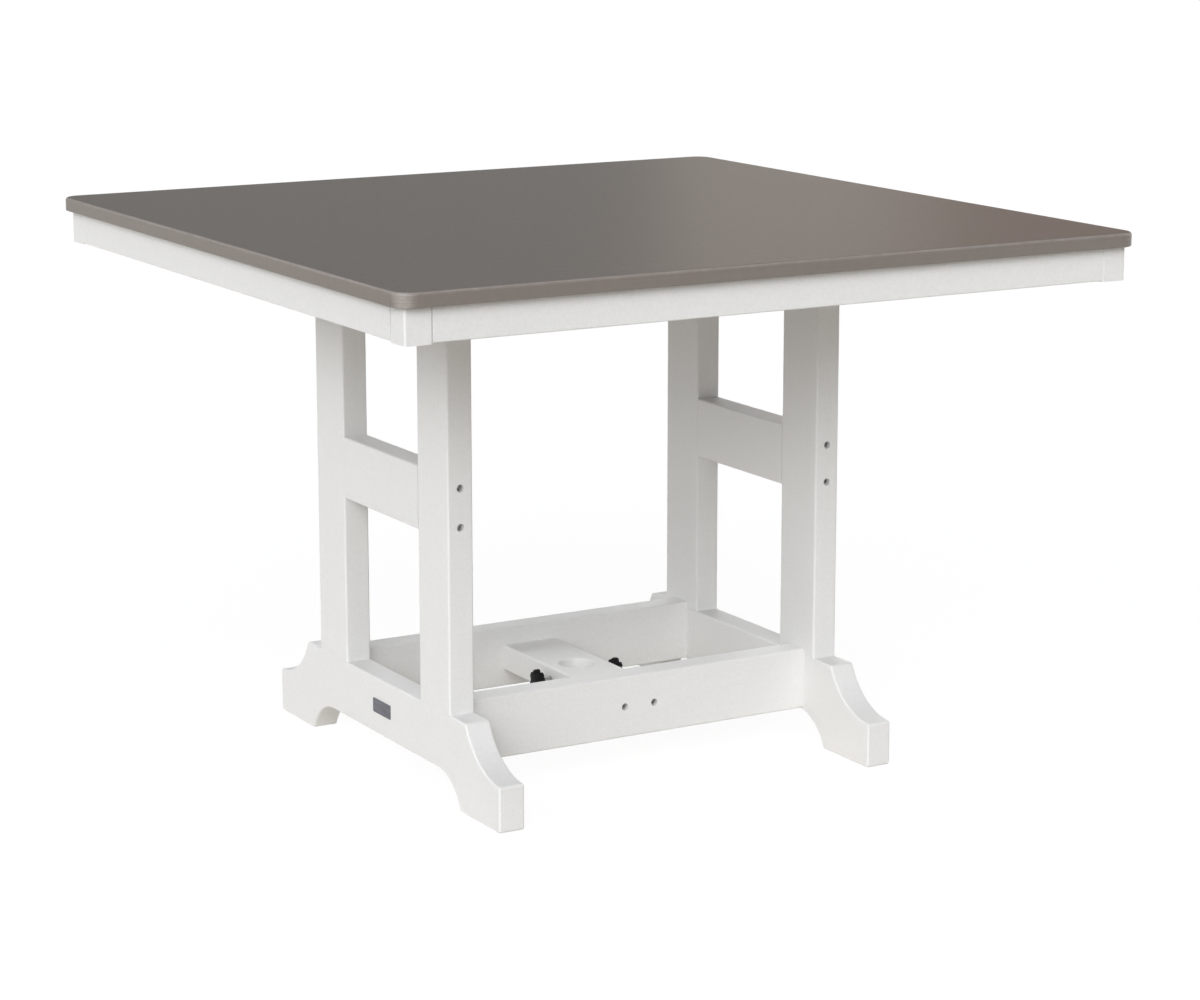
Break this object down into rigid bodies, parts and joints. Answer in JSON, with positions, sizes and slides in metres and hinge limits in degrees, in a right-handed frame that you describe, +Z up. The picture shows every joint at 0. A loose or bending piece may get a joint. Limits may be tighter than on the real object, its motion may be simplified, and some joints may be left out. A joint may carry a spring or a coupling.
{
  "type": "square patio table",
  "caption": "Square outdoor dining table: sheet top on an apron, trestle legs with scroll-cut feet, low stretchers and an umbrella-pole brace with clamp knobs.",
  "frame": {"origin": "on the floor under the centre of the top, where the umbrella pole's axis meets it", "axes": "+Z up along the umbrella pole, +X along the stretchers away from the foot with the plain plate, +Y along the feet away from the pictured front corner"},
  "size_m": [1.1176, 1.1176, 0.7684],
  "materials": {
    "white_lumber": "satin white plastic lumber with a fine grain",
    "top_sheet": "taupe plastic sheet with a fine hammered skin",
    "black_plastic": "black moulded plastic",
    "stud_steel": "stainless threaded stud",
    "screw_steel": "stainless screws",
    "insert_zinc": "zinc-plated thread insert",
    "plate_metal": "dark grey, bare"
  },
  "bodies": {
    "table": {"apron_front": "white_lumber", "apron_left": "white_lumber", "apron_rear": "white_lumber", "apron_right": "white_lumber", "apron_screws": "screw_steel", "block_screws": "screw_steel", "brace_screws": "screw_steel", "cleat_screws": "screw_steel", "corner_block_front_left": "white_lumber", "corner_block_front_right": "white_lumber", "corner_block_rear_left": "white_lumber", "corner_block_rear_right": "white_lumber", "foot_left": "white_lumber", "foot_right": "white_lumber", "foot_screws": "screw_steel", "leg_front_left": "white_lumber", "leg_front_right": "white_lumber", "leg_rear_left": "white_lumber", "leg_rear_right": "white_lumber", "mid_rail_left": "white_lumber", "mid_rail_right": "white_lumber", "mid_rail_screws": "screw_steel", "stretcher_front": "white_lumber", "stretcher_rear": "white_lumber", "stretcher_screws": "screw_steel", "table_top": "top_sheet", "tag_plate": "plate_metal", "thread_insert_left": "insert_zinc", "thread_insert_right": "insert_zinc", "top_batten_front": "white_lumber", "top_batten_rear": "white_lumber", "top_cleat_left": "white_lumber", "top_cleat_right": "white_lumber", "top_screws": "screw_steel", "umbrella_brace": "white_lumber"},
    "umbrella_plug": {"umbrella_plug": "top_sheet"},
    "left_clamp_stud": {"clamp_stud_left": "stud_steel"},
    "left_clamp_knob": {"clamp_knob_left": "black_plastic"},
    "right_clamp_stud": {"clamp_stud_right": "stud_steel"},
    "right_clamp_knob": {"clamp_knob_right": "black_plastic"}
  },
  "joints": [
    {"name": "plug_lift", "type": "slide", "parent": "table", "child": "umbrella_plug", "axis": [0, 0, 1], "range_m": [0, 0.06]},
    {"name": "left_clamp_travel", "type": "slide", "parent": "table", "child": "left_clamp_stud", "axis": [1, 0, 0], "range_m": [-0.00564, 0.00988]},
    {"name": "left_clamp_turn", "type": "hinge", "parent": "left_clamp_stud", "child": "left_clamp_knob", "pos_m": [-0.05645, 0, 0.09185], "axis": [1, 0, 0], "range_deg": [-1445, 2525]},
    {"name": "right_clamp_travel", "type": "slide", "parent": "table", "child": "right_clamp_stud", "axis": [-1, 0, 0], "range_m": [-0.00564, 0.00988]},
    {"name": "right_clamp_turn", "type": "hinge", "parent": "right_clamp_stud", "child": "right_clamp_knob", "pos_m": [0.05645, 0, 0.09185], "axis": [-1, 0, 0], "range_deg": [-1445, 2525]}
  ],
  "couplings": [
    {"joint": "left_clamp_turn", "follows": "left_clamp_travel", "rad_per_m": 4452.7},
    {"joint": "right_clamp_turn", "follows": "right_clamp_travel", "rad_per_m": 4452.7}
  ]
}
